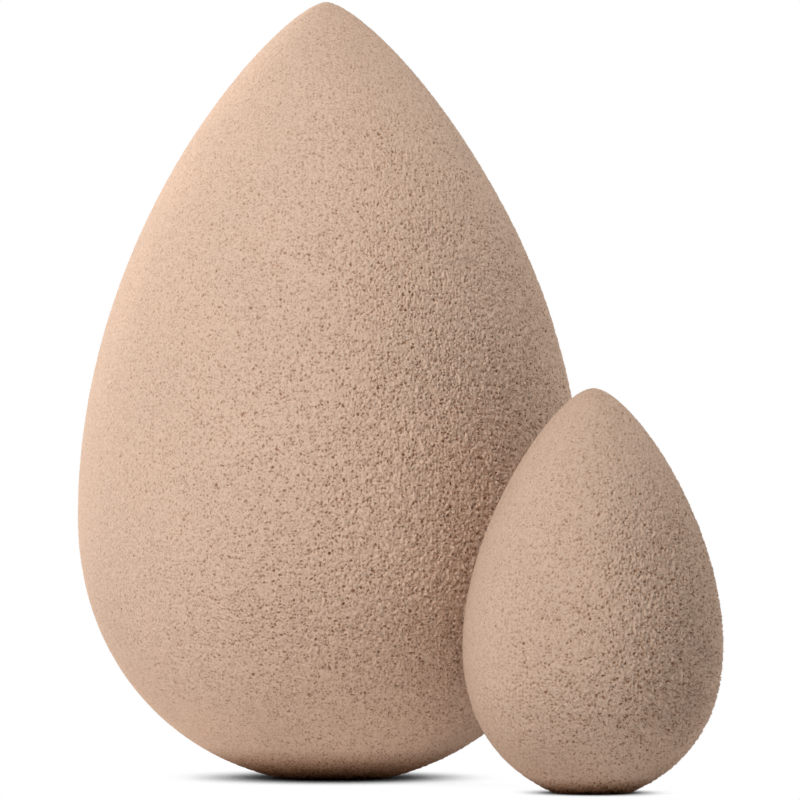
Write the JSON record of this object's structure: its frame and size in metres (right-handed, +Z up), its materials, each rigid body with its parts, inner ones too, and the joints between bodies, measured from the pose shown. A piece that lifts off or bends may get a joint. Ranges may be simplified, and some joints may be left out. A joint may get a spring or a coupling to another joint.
{
  "type": "makeup sponge set",
  "caption": "Teardrop makeup sponges of fine beige open-cell foam, a full size one and a half size mini one, each with a round base, a pointed tip and a small flat foot.",
  "frame": {"origin": "centre of the full size sponge's flat foot, on the surface that both sponges stand on", "axes": "+Z up along the full size sponge's axis towards its tip; +X to the right and -Y towards the viewer of the pictured side, where the mini sponge stands in front on the right"},
  "size_m": [0.0501, 0.0527, 0.062],
  "materials": {
    "foam": "matt beige open-cell foam rubber with fine pores"
  },
  "bodies": {
    "full_size_sponge": {"full_size_sponge": "foam"},
    "mini_sponge": {"mini_sponge": "foam"}
  },
  "joints": [
    {"name": "mini_lift", "type": "slide", "parent": "full_size_sponge", "child": "mini_sponge", "axis": [0, 0, 1], "range_m": [0, 0.07]}
  ]
}
